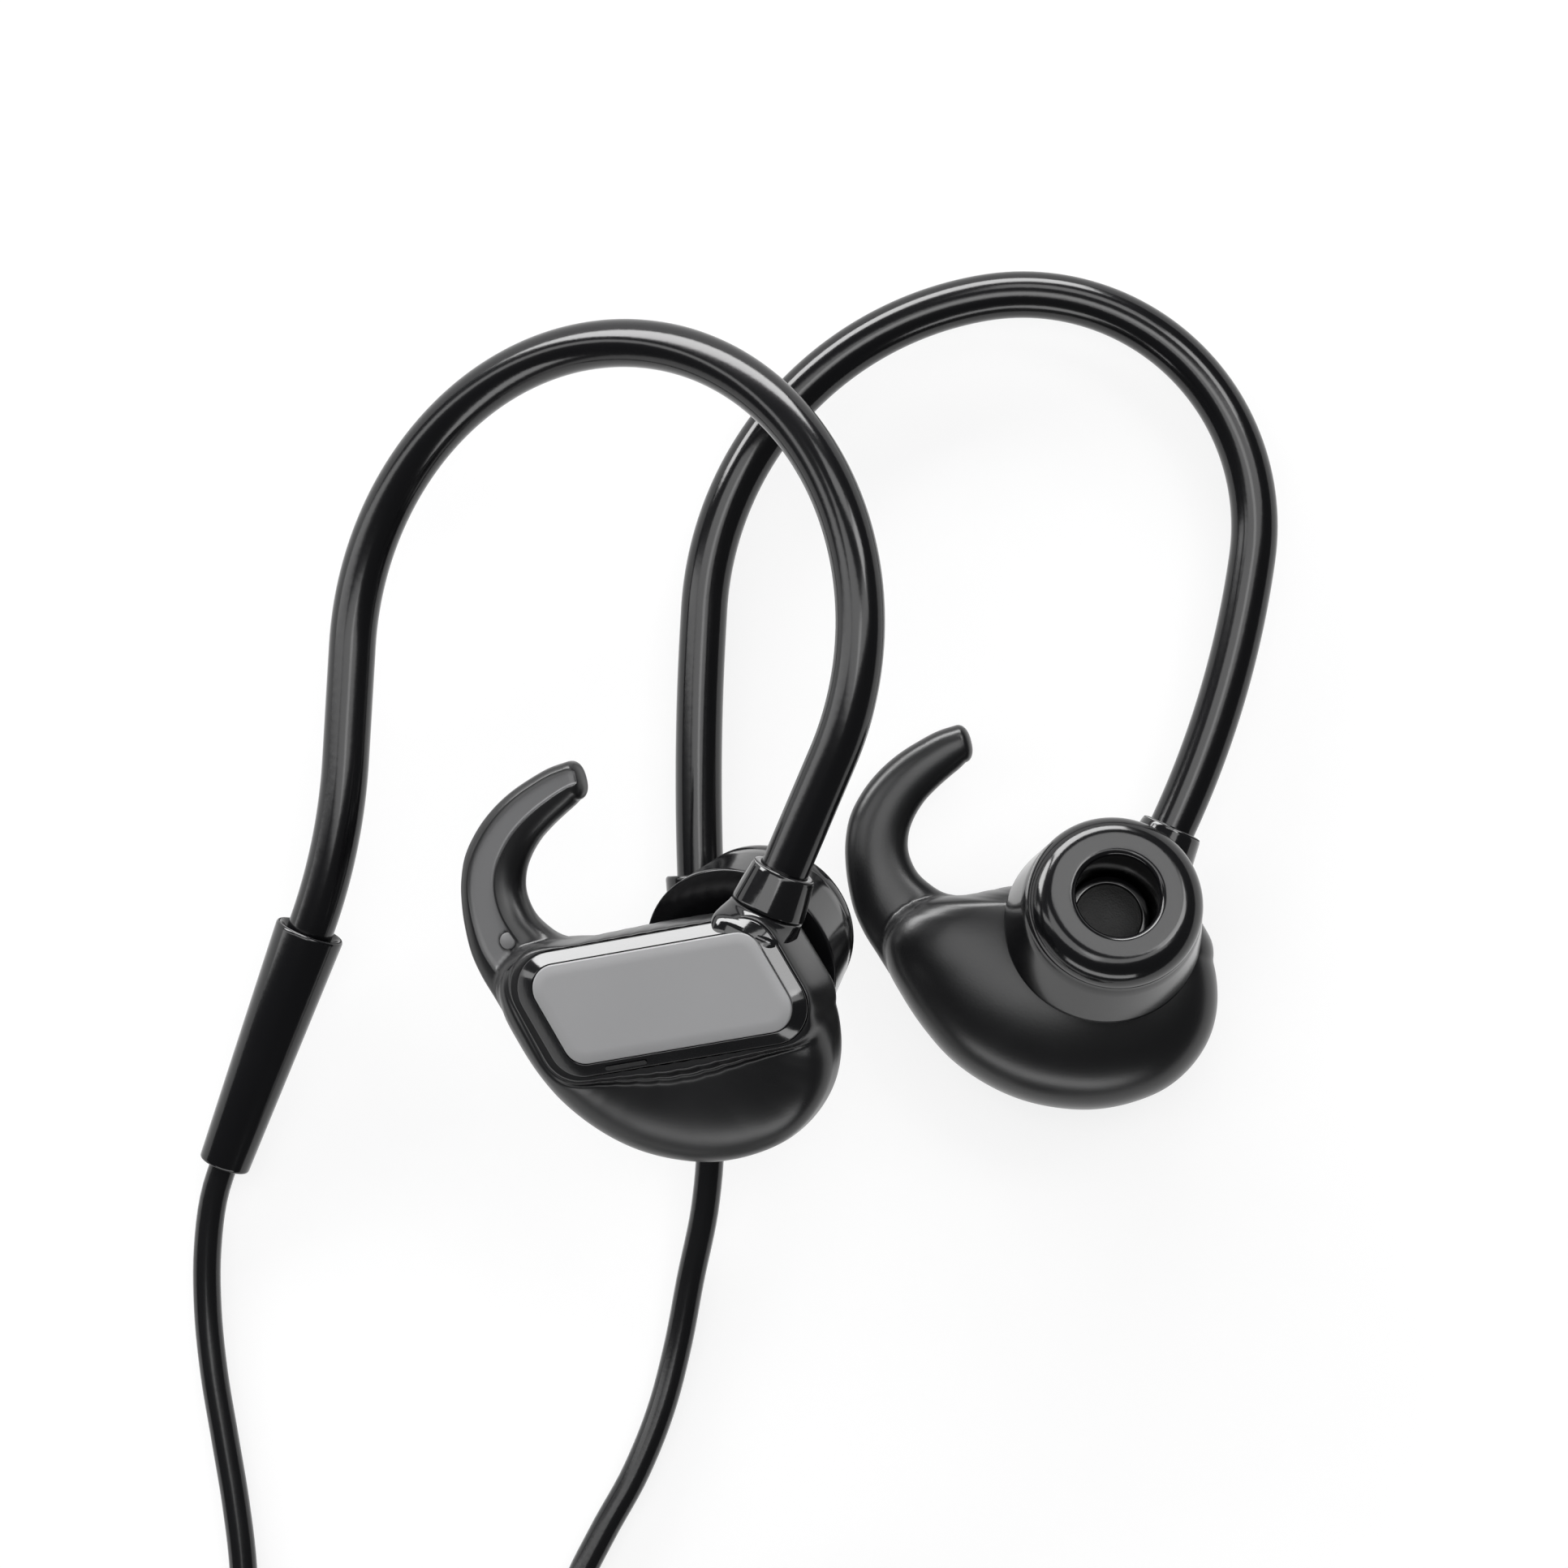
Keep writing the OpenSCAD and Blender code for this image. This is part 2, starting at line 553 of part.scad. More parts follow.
module plug_grip() {
    r = grip_d / 2;
    color("#1c1c1f") on_plug(relief_len) difference() {
        rotate_extrude() polygon([[0, gap], [r - 1, gap], [r - 0.35, 0.5], [r, 1.6], [r - 0.25, grip_len * 0.5], [r, grip_len - 1.6], [r - 0.3, grip_len - 0.4], [r - 0.7, grip_len], [0, grip_len]]);
        translate([0, 0, grip_len - 3]) cylinder(h = 4, r = plug_d / 2 - 0.4);
    }
}

shaft_at = relief_len + grip_len;
plug_sleeve_len = plug_len - ring_len - plug_point_len - 2 * insulator_len;
module shaft_piece(from, length) { on_plug(shaft_at + from) cylinder(h = length, r = plug_d / 2); }
module plug_sleeve() { color("#c9b37a") shaft_piece(gap, plug_sleeve_len - gap); }
module plug_insulators() {
    color("#101012") {
        shaft_piece(plug_sleeve_len, insulator_len);
        shaft_piece(plug_sleeve_len + insulator_len + ring_len, insulator_len);
    }
}
module plug_ring() { color("#c9b37a") shaft_piece(plug_sleeve_len + insulator_len, ring_len); }
module plug_tip() {
    r = plug_d / 2;
    color("#c9b37a") on_plug(shaft_at + plug_len - plug_point_len) rotate_extrude() polygon([[0, 0], [r, 0], [r, 0.6], [r - 0.55, 1.3],
        [r - 0.3, 2.2], [r - 0.3, 2.5], [0.5, plug_point_len], [0, plug_point_len]]);
}

echo(coil_gaps = [for (s = [left_coil_spec, right_coil_spec, main_coil_spec]) coil_gap(coil_route(s))]);
echo(cord_lengths = [
    route_len(left_lead_route) + route_len(coil_route(left_coil_spec)) + route_len(left_tail_route),
    route_len(right_lead_route) + route_len(coil_route(right_coil_spec)) + route_len(right_tail_route),
    route_len(main_lead_route) + route_len(coil_route(main_coil_spec)) + route_len(main_tail_route)]);

left_place() cover();  // left_cover
left_place() wing_peg();  // left_wing_peg
left_place() face_shell();  // left_face_shell
left_place() face_plate();  // left_face_plate
left_place() vent_mesh();  // left_vent_mesh
left_place() rear_shell();  // left_rear_shell
left_place() nozzle_mesh();  // left_nozzle_mesh
left_place() driver_frame();  // left_driver_frame
left_place() magnet();  // left_magnet
left_place() diaphragm();  // left_diaphragm
left_place() ear_tip();  // left_ear_tip
left_place() collar();  // left_collar
left_place() hook_tube(left_run, left_twist);  // left_hook_tube
left_place() hook_wire(left_run, left_twist);  // left_hook_wire
left_place() sleeve(left_run, left_twist);  // left_sleeve
right_place() cover();  // right_cover
right_place() wing_peg();  // right_wing_peg
right_place() face_shell();  // right_face_shell
right_place() face_plate();  // right_face_plate
right_place() vent_mesh();  // right_vent_mesh
right_place() rear_shell();  // right_rear_shell
right_place() nozzle_mesh();  // right_nozzle_mesh
right_place() driver_frame();  // right_driver_frame
right_place() magnet();  // right_magnet
right_place() diaphragm();  // right_diaphragm
right_place() ear_tip();  // right_ear_tip
right_place() collar();  // right_collar
right_place() hook_tube(right_run, right_twist);  // right_hook_tube
right_place() hook_wire(right_run, right_twist);  // right_hook_wire
right_place() sleeve(right_run, right_twist);  // right_sleeve
color("#1a1a1c") cord(left_lead_route, cord_r, cord_sides, unit([-0.35, -0.92, -0.16]), down);  // left_lead
color("#1a1a1c") coil(left_coil_spec);  // left_coil
color("#1a1a1c") cord(left_tail_route, cord_r, cord_sides, down, down);  // left_tail
color("#1a1a1c") cord(right_lead_route, cord_r, cord_sides, down, down);  // right_lead
color("#1a1a1c") coil(right_coil_spec);  // right_coil
color("#1a1a1c") cord(right_tail_route, cord_r, cord_sides, down, down);  // right_tail
color("#1a1a1c") cord(main_lead_route, cord_r, cord_sides, down, down);  // main_lead
color("#1a1a1c") coil(main_coil_spec);  // main_coil
color("#1a1a1c") cord(main_tail_route, cord_r, cord_sides, -down, down);  // main_tail
color("#242426") coil_tie(left_coil_spec);  // left_coil_tie
color("#242426") coil_tie(right_coil_spec);  // right_coil_tie
color("#242426") coil_tie(main_coil_spec);  // main_coil_tie
splitter();
plug_relief();
plug_grip();
plug_sleeve();
plug_ring();
plug_insulators();
plug_tip();
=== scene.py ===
import json

import bpy
import numpy as np
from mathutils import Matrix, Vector


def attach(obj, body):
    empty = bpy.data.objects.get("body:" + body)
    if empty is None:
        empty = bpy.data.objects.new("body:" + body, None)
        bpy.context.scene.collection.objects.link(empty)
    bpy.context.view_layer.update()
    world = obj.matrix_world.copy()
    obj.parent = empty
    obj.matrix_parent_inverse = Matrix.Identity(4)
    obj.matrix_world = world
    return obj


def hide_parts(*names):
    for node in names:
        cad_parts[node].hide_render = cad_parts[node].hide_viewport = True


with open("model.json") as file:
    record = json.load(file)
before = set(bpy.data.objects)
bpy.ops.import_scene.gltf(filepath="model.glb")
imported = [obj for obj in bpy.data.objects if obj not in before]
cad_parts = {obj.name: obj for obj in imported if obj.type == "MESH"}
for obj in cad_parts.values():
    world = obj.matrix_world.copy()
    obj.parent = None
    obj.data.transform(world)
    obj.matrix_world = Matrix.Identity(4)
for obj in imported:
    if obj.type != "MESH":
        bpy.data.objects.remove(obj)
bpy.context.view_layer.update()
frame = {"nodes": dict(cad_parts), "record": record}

# ---- Camera and table --------------------------------------------------------------------
# The earphones lie on a pale table under an overhead camera. Four softboxes hang above it,
# and three low strips stand round it. All sizes here and below are millimetres.
mm = 0.001
scene = bpy.context.scene
scene.view_settings.view_transform = "Standard"

camera = bpy.data.objects.new("overhead_camera", bpy.data.cameras.new("overhead_camera"))
camera.location = Vector((2.86, -3.93, 350)) * mm
camera.data.lens = 123.9
camera.data.sensor_width = 36
scene.collection.objects.link(camera)
scene.camera = camera

table_half = 2500
table_mesh = bpy.data.meshes.new("table_top")
table_corners = [(x * table_half * mm, y * table_half * mm, 0) for x, y in ((-1, -1), (1, -1), (1, 1), (-1, 1))]
table_mesh.from_pydata(table_corners, [], [(0, 1, 2, 3)])
table_top = bpy.data.objects.new("table_top", table_mesh)
scene.collection.objects.link(table_top)

# White paper that also glows, by the share below, for rays that see it straight on, mirrored
# or through something clear. The rest of it takes light and shadow as paper does.
glow_share = 0.8
paper = bpy.data.materials.new("white_paper")
paper.use_nodes = True
tree = paper.node_tree
sheet = tree.nodes["Principled BSDF"]
sheet.inputs["Roughness"].default_value = 0.9
sheet.inputs["Specular IOR Level"].default_value = 0.1
where = tree.nodes.new("ShaderNodeTexCoord")
pulp = tree.nodes.new("ShaderNodeTexNoise")
pulp.inputs["Scale"].default_value = 400
pulp_shade = tree.nodes.new("ShaderNodeMapRange")
pulp_shade.inputs["To Min"].default_value = 0.84
pulp_shade.inputs["To Max"].default_value = 0.88
seen = tree.nodes.new("ShaderNodeLightPath")
either = tree.nodes.new("ShaderNodeMath")
either.operation = "MAXIMUM"
any_of_three = tree.nodes.new("ShaderNodeMath")
any_of_three.operation = "MAXIMUM"
share = tree.nodes.new("ShaderNodeMath")
share.operation = "MULTIPLY"
share.inputs[1].default_value = glow_share
glow = tree.nodes.new("ShaderNodeEmission")
glow.inputs["Color"].default_value = (1, 1, 1, 1)
both = tree.nodes.new("ShaderNodeMixShader")
tree.links.new(where.outputs["Object"], pulp.inputs["Vector"])
tree.links.new(pulp.outputs["Fac"], pulp_shade.inputs["Value"])
tree.links.new(pulp_shade.outputs["Result"], sheet.inputs["Base Color"])
tree.links.new(seen.outputs["Is Camera Ray"], either.inputs[0])
tree.links.new(seen.outputs["Is Glossy Ray"], either.inputs[1])
tree.links.new(either.outputs[0], any_of_three.inputs[0])
tree.links.new(seen.outputs["Is Transmission Ray"], any_of_three.inputs[1])
tree.links.new(any_of_three.outputs[0], share.inputs[0])
tree.links.new(share.outputs[0], both.inputs["Fac"])
tree.links.new(sheet.outputs["BSDF"], both.inputs[1])
tree.links.new(glow.outputs["Emission"], both.inputs[2])
tree.links.new(both.outputs["Shader"], tree.nodes["Material Output"].inputs["Surface"])
table_mesh.materials.append(paper)

room = bpy.data.worlds.new("studio_room")
room.use_nodes = True
room.node_tree.nodes["Background"].inputs["Color"].default_value = (0.9, 0.92, 0.95, 1)
room.node_tree.nodes["Background"].inputs["Strength"].default_value = 0.1
scene.world = room


def softbox(name, place, width, height, brightness):
    """Area lamp facing the middle of the table. Its power is brightness times pi times its area."""
    lamp = bpy.data.lights.new(name, "AREA")
    lamp.shape = "RECTANGLE"
    lamp.size, lamp.size_y = width * mm, height * mm
    lamp.energy = brightness * np.pi * lamp.size * lamp.size_y
    holder = bpy.data.objects.new(name, lamp)
    holder.location = Vector(place) * mm
    holder.rotation_euler = (-holder.location).to_track_quat("-Z", "Y").to_euler()
    scene.collection.objects.link(holder)


softbox("overhead_left", (-270, 125, 900), 417, 750, 2.6)
softbox("overhead_right", (263, 125, 900), 274, 750, 2.6)
softbox("far_softbox", (150, 720, 860), 500, 320, 3.4)
softbox("right_softbox", (600, 590, 950), 360, 360, 7)
softbox("left_strip", (-900, 150, 420), 160, 900, 3)
softbox("far_strip", (-350, 850, 280), 1500, 380, 13)
softbox("near_strip", (-150, -900, 400), 1300, 260, 4)

# ---- Cables ------------------------------------------------------------------------------
# Thin round cable in a smooth black jacket: a branch from each hook's sleeve to the splitter,
# and one main cable on to the plug. The spare length of each lies in a neat tied coil.
cable_radius = 0.9
coil_pitch = 2.3
coil_height = 1.55
coil_steps = 48


def smooth_line(stops, spacing):
    """Cubic Hermite curve through the stops: the slope at a stop is the mean of the chords
    beside it, each weighted by the other's length."""
    stops = np.asarray(stops, float)
    chord = np.linalg.norm(np.diff(stops, axis=0), axis=1)[:, None]
    way = np.diff(stops, axis=0) / chord
    middle = (way[:-1] * chord[1:] + way[1:] * chord[:-1]) / (chord[:-1] + chord[1:])
    slope = np.vstack([way[:1], middle, way[-1:]])
    reach = np.concatenate([[0], np.cumsum(chord)])
    s = np.linspace(0, reach[-1], int(reach[-1] / spacing) + 1)
    i = np.clip(np.searchsorted(reach, s, side="right") - 1, 0, len(chord) - 1)
    h = chord[i]
    t = (s - reach[i])[:, None] / h
    return (
        (2 * t**3 - 3 * t**2 + 1) * stops[i]
        + (t**3 - 2 * t**2 + t) * h * slope[i]
        + (3 * t**2 - 2 * t**3) * stops[i + 1]
        + (t**3 - t**2) * h * slope[i + 1]
    )


def rings_along(line, radius, sides, up=(0, 0, 1)):
    """Circles of the radius about each point of the line, square to its slope there."""
    ahead = np.gradient(line, axis=0)
    ahead /= np.linalg.norm(ahead, axis=1, keepdims=True)
    side = np.cross(ahead, up)
    side /= np.linalg.norm(side, axis=1, keepdims=True)
    lift = np.cross(side, ahead)
    turn = 2 * np.pi * np.arange(sides) / sides
    radius = np.broadcast_to(radius, len(line))[:, None, None]
    return line[:, None] + radius * (np.cos(turn)[:, None] * side[:, None] + np.sin(turn)[:, None] * lift[:, None])


def shell(rings, closed=False):
    """Quads between rings that follow each other. The last ring joins the first when closed,
    and otherwise a fan covers each end. The sign of its volume turns every face outwards."""
    m, n = rings.shape[:2]
    points = rings.reshape(-1, 3)
    i = np.arange(m if closed else m - 1)[:, None]
    k = np.arange(n)
    here, there, following = i * n, (i + 1) % m * n, (k + 1) % n
    quads = np.stack(np.broadcast_arrays(here + k, here + following, there + following, there + k), -1).reshape(-1, 4)
    fans = np.zeros((0, 3), int)
    if not closed:
        points = np.vstack([points, rings[0].mean(0), rings[-1].mean(0)])
        last = (m - 1) * n
        fans = np.vstack(
            [
                np.stack([np.full(n, m * n), following, k], -1),
                np.stack([np.full(n, m * n + 1), last + k, last + following], -1),
            ]
        )
    corners = np.vstack([quads[:, [0, 1, 2]], quads[:, [0, 2, 3]], fans])
    a, b, c = (points[corners[:, j]] - points.mean(0) for j in range(3))
    if np.einsum("ij,ij->", a, np.cross(b, c)) < 0:
        quads, fans = quads[:, ::-1], fans[:, ::-1]
    return points, quads.tolist() + fans.tolist()


def make_piece(name, shells, material, replaced=(), body="root"):
    """One object from one or more shells in millimetres, riding on a body."""
    points, faces, count = [], [], 0
    for shell_points, shell_faces in shells:
        points.append(shell_points * mm)
        faces += [[count + corner for corner in face] for face in shell_faces]
        count += len(shell_points)
    mesh = bpy.data.meshes.new(name)
    mesh.from_pydata(np.vstack(points).tolist(), [], faces)
    mesh.shade_smooth()
    mesh.materials.append(material)
    made = bpy.data.objects.new(name, mesh)
    scene.collection.objects.link(made)
    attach(made, body)
    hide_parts(*replaced)
    return made


def moulded(name, colour, rough, grain, lift, metal=0.0, coat=0.0, cloud=5.0, shift=0.25):
    """Moulded or drawn surface: colour and roughness drift over cloud-sized patches by the
    share in shift, and a fine noise of the grain's size lifts the surface."""
    material = bpy.data.materials.new(name)
    material.use_nodes = True
    nodes, links = material.node_tree.nodes, material.node_tree.links
    surface = nodes["Principled BSDF"]
    surface.inputs["Metallic"].default_value = metal
    surface.inputs["Coat Weight"].default_value = coat
    surface.inputs["Coat Roughness"].default_value = 0.06
    where = nodes.new("ShaderNodeTexCoord")
    drift = nodes.new("ShaderNodeTexNoise")
    drift.inputs["Scale"].default_value = 1 / (cloud * mm)
    drift.inputs["Detail"].default_value = 4
    shade = nodes.new("ShaderNodeMix")
    shade.data_type = "RGBA"
    shade.inputs[6].default_value = (*[c * (1 - shift) for c in colour], 1)
    shade.inputs[7].default_value = (*[min(1, c * (1 + shift)) for c in colour], 1)
    gloss = nodes.new("ShaderNodeMapRange")
    gloss.inputs["To Min"].default_value = rough * (1 - shift)
    gloss.inputs["To Max"].default_value = rough * (1 + shift)
    fine = nodes.new("ShaderNodeTexNoise")
    fine.inputs["Scale"].default_value = 1 / (grain * mm)
    bump = nodes.new("ShaderNodeBump")
    bump.inputs["Strength"].default_value = 1
    bump.inputs["Distance"].default_value = lift * mm
    links.new(where.outputs["Object"], drift.inputs["Vector"])
    links.new(where.outputs["Object"], fine.inputs["Vector"])
    links.new(drift.outputs["Fac"], shade.inputs[0])
    links.new(drift.outputs["Fac"], gloss.inputs["Value"])
    links.new(shade.outputs[2], surface.inputs["Base Color"])
    links.new(gloss.outputs["Result"], surface.inputs["Roughness"])
    links.new(fine.outputs["Fac"], bump.inputs["Height"])
    links.new(bump.outputs["Normal"], surface.inputs["Normal"])
    return material


def wound(centre, turns_in_layer, layers, middle):
    """Coil wound anticlockwise from its left side. The radius runs in and out by one pitch a
    turn, layer by layer, and the height climbs smoothly in the half turn about each reversal."""
    n = turns_in_layer
    u = np.arange(round(n * layers * coil_steps) + 1) / coil_steps
    v = u % (2 * n)
    inward = np.where(v < n, v / n, 2 - v / n)
    k = np.floor(u / n + 0.5)
    w = u - k * n
    climb = np.where(w < -0.25, k - 1, np.where(w > 0.25, k, k - 0.5 - 0.5 * np.cos(np.pi * (w + 0.25) / 0.5)))
    climb = np.where(k == 0, 0, np.where(k >= layers, layers - 1, climb))
    radius = middle + coil_pitch * n / 2 - coil_pitch * n * inward
    turn = np.pi * (1 + 2 * u)
    x, y = centre[0] + radius * np.cos(turn), centre[1] + radius * np.sin(turn)
    return np.stack([x, y, coil_height + coil_pitch * climb], -1)


left_route = [
    (-33.0, -27.7, 2.1), (-33.9, -30.4, 1.6), (-34.4, -34.0, 1.2), (-34.4, -38.0, 1.0), (-34.0, -42.0, 1.0),
    (-33.3, -46.2, 1.0), (-32.6, -50.4, 1.0), (-32.1, -54.8, 1.0), (-32.1, -59.2, 1.0), (-32.6, -63.6, 1.2),
    (-33.3, -68.0, 1.5), (-33.6, -72.6, 1.55), *wound((-21.3, -74.4), 2, 2, 10),
    (-33.6, -76.2, 3.85), (-33.5, -80.4, 3.4), (-32.3, -84.7, 2.4), (-29.9, -88.4, 1.6), (-26.7, -91.6, 1.3),
    (-23.6, -94.6, 1.4), (-21.5, -98.0, 1.7), (-21.0, -101.4, 1.8),
]  # fmt: skip
right_route = [
    (-2.0, -25.0, 2.9), (-1.9, -26.6, 2.9), (-2.2, -31.0, 2.2), (-3.2, -36.0, 1.3), (-4.0, -40.2, 1.0),
    (-5.1, -44.4, 1.0), (-6.8, -48.6, 1.0), (-8.9, -52.4, 1.0), (-10.7, -56.2, 1.0), (-11.4, -59.8, 1.0),
    (-10.8, -63.4, 1.1), (-8.9, -66.6, 1.3), (-6.8, -69.4, 1.5), (-5.8, -72.6, 1.55), *wound((6.5, -74.4), 2, 2, 10),
    (-5.8, -76.2, 3.85), (-5.9, -80.4, 3.4), (-7.0, -84.8, 2.4), (-9.4, -88.6, 1.6), (-12.5, -91.8, 1.3),
    (-15.7, -94.6, 1.4), (-18.0, -97.7, 1.7), (-18.6, -101.4, 1.8),
]  # fmt: skip
main_route = [
    (-19.8, -117.4, 1.8), (-19.8, -121.4, 1.6), (-19.8, -125.6, 1.55), *wound((-6.2, -127.4), 3.125, 4, 10.00625),
    (7.4, -125.6, 8.45), (7.6, -121.2, 7.8), (8.2, -116.8, 6.0), (9.1, -112.4, 4.2), (10.3, -108.0, 2.6),
    (11.6, -103.6, 1.6), (13.4, -99.3, 1.2), (16.2, -95.7, 1.1), (19.8, -94.7, 1.5), (22.6, -96.7, 2.5),
    (23.7, -100.4, 3.2),
]  # fmt: skip

jacket = moulded("cable_jacket", (0.004, 0.004, 0.0045), 0.2, 0.25, 0.004)
plug_nodes = ["plug_relief", "plug_grip", "plug_sleeve", "plug_ring", "plug_insulators", "plug_tip"]
cables = [
    ("left", left_route, 0.330, "fitting", ["left_coil_tie", "splitter"]),
    ("right", right_route, 0.335, "fitting", ["right_coil_tie", "splitter"]),
    ("main", main_route, 0.840, "plug", ["main_coil_tie", *plug_nodes]),
]
for cable, route, length, far_end, on_it in cables:
    line = smooth_line(route, 0.8)
    made = make_piece(
        f"{cable}_cable",
        [shell(rings_along(line, cable_radius, 14))],
        jacket,
        [f"{cable}_lead", f"{cable}_coil", f"{cable}_tail"],
    )

# ---- Ear hooks ---------------------------------------------------------------------------
# Glossy soft tube over a memory wire, bent over the ear. It rises from the collar on the
# earpiece's neck and ends in the sleeve. Each hook is a run of bends in one plane.
hook_radius = 1.5
into_collar = 2.1
collar_top = np.array([8.0, 7.85, 1.0])
neck_turn = 65


def turned(points, about_x=0, about_y=0, about_z=0):
    """Points turned about x, then y, then z, in degrees."""
    x, y, z = np.moveaxis(np.asarray(points, float), -1, 0)
    cx, cy, cz = np.cos(np.radians([about_x, about_y, about_z]))
    sx, sy, sz = np.sin(np.radians([about_x, about_y, about_z]))
    y, z = cx * y - sx * z, sx * y + cx * z
    x, z = cy * x + sy * z, cy * z - sy * x
    x, y = cz * x - sz * y, sz * x + cz * y
    return np.stack([x, y, z], -1)


def on_left(points):
    """The left earpiece's own frame, tilted on the table and held by its collar."""
    return turned(points - collar_top, 4, -17) + (2.9, -9.1, 22.8)


def on_right(points):
    """The right earpiece's own frame, mirrored, with its face on the table."""
    return (points - collar_top) * (1, 1, -1) + (27.8, -6.7, 3.6)


def on_neck(points, back=0):
    """+y up along the neck, from that far below the collar's top."""
    return turned(points - np.array([0, back, 0]), about_z=neck_turn - 90) + collar_top


def bend(run, step):
    """Points and headings along straights (0, length) and bends (radius, turn in degrees),
    starting at the origin and heading along +y."""
    rows = [np.array([[0.0, 0.0, 90.0]])]
    for radius, amount in run:
        x, y, heading = rows[-1][-1]
        size = amount if radius == 0 else abs(np.radians(radius * amount))
        f = np.linspace(0, 1, max(2, int(size / step)) + 1)[1:]
        if radius == 0:
            go = np.radians(heading)
            rows.append(np.stack([x + f * amount * np.cos(go), y + f * amount * np.sin(go), heading + 0 * f], -1))
        else:
            facing, start = np.radians(heading + f * amount), np.radians(heading)
            ahead = x + radius * (np.sin(facing) - np.sin(start))
            aside = y - radius * (np.cos(facing) - np.cos(start))
            rows.append(np.stack([ahead, aside, heading + f * amount], -1))
    return np.vstack(rows)


hook_runs = {
    "left": [(0, into_collar + 7.5), (18.1, 103.3), (19.3, 99.7), (0, 7.3), (-31.4, -20.5)],
    "right": [(0, into_collar), (61, 17), (14.9, 107.4), (21.6, 77.4), (0, 1.4), (169, 5.3)],
}
hook_twist = {"left": -15.8, "right": 2}
sides = {"left": on_left, "right": on_right}
elastomer = moulded("hook_elastomer", (0.003, 0.003, 0.0035), 0.16, 0.6, 0.004, cloud=9)
sleeve_seat = 2.5

for side, place in sides.items():
    way = bend([*hook_runs[side], (0, sleeve_seat)], 0.5)
    line = np.stack([way[:, 0], way[:, 1], 0 * way[:, 0]], -1)
    rings = rings_along(line, hook_radius, 40)
    rings = place(on_neck(turned(rings, about_y=hook_twist[side]), into_collar))
    make_piece(f"{side}_hook", [shell(rings)], elastomer, [f"{side}_hook_tube"])

# ---- Sleeves -----------------------------------------------------------------------------
# Tapered moulding that joins hook and cable: a cupped rim at its wide top, where the hook
# goes in, and a rounded lower edge round the cable.


def rounded(profile, radius, steps=5):
    """Closed profile whose corners become arcs, each a quadratic curve from one edge to the
    next that starts the radius away from the corner, or halfway along a short edge."""
    corner = np.asarray(profile, float)
    back, ahead = np.roll(corner, 1, axis=0) - corner, np.roll(corner, -1, axis=0) - corner
    reach_back = np.minimum(radius / np.linalg.norm(back, axis=1), 0.5)[:, None]
    reach_on = np.minimum(radius / np.linalg.norm(ahead, axis=1), 0.5)[:, None]
    start, end = corner + back * reach_back, corner + ahead * reach_on
    t = np.linspace(0, 1, steps)[:, None, None]
    arcs = (1 - t) ** 2 * start + 2 * t * (1 - t) * corner + t**2 * end
    return arcs.transpose(1, 0, 2).reshape(-1, 2)


def spun(profile, count=64):
    """Rings about +y: each [radius, height] pair of the profile becomes a circle."""
    radius, height = np.asarray(profile, float).T[:, :, None]
    turn = 2 * np.pi * np.arange(count) / count
    return np.stack(np.broadcast_arrays(radius * np.cos(turn), height, radius * np.sin(turn)), -1)


sleeve_length = 16.5
sleeve_profile = rounded(
    [
        (2.25, 0.05), (1.65, sleeve_length), (1.05, sleeve_length), (1.05, sleeve_length - 1.6),
        (0.5, sleeve_length - 1.6), (0.5, sleeve_seat), (1.52, sleeve_seat), (1.6, 0.7), (1.95, 0.0),
    ],
    0.22,
)  # fmt: skip
for side, place in sides.items():
    x, y, heading = bend(hook_runs[side], 0.5)[-1]
    rings = turned(spun(sleeve_profile), about_z=heading - 90) + (x, y, 0)
    rings = place(on_neck(turned(rings, about_y=hook_twist[side]), into_collar))
    make_piece(f"{side}_cable_sleeve", [shell(rings, closed=True)], elastomer, [f"{side}_sleeve"])

# ---- Collars -----------------------------------------------------------------------------
# Glossy collar that closes the neck and grips the end of the hook, tapered to its mouth.
collar_length = 2.7
collar_profile = rounded(
    [
        (2.3, 0.05), (2.35, 0.15), (2.02, collar_length - 0.2), (1.9, collar_length),
        (1.52, collar_length), (1.52, 0.6), (0.6, 0.6), (0.6, 0.06),
    ],
    0.14,
)  # fmt: skip
gloss_plastic = moulded("gloss_plastic", (0.004, 0.004, 0.0045), 0.12, 0.4, 0.003, coat=0.3)
for side, place in sides.items():
    rings = place(on_neck(spun(collar_profile), collar_length))
    make_piece(f"{side}_neck_collar", [shell(rings, closed=True)], gloss_plastic, [f"{side}_collar"])

# ---- Housings ----------------------------------------------------------------------------
# Polished face half of the housing: a leaning, chamfered bezel with a recess for the plate,
# and a neck moulded in one with it, round at the collar and nearly square at the bezel.
plate_middle = np.array([1.1, 0.28])
plate_rise, plate_slant = 10, 120.5
plate_long, plate_short, plate_corner = 14.9, 6.6, 1.5
bezel_width = 0.78
wider_end = 0.5


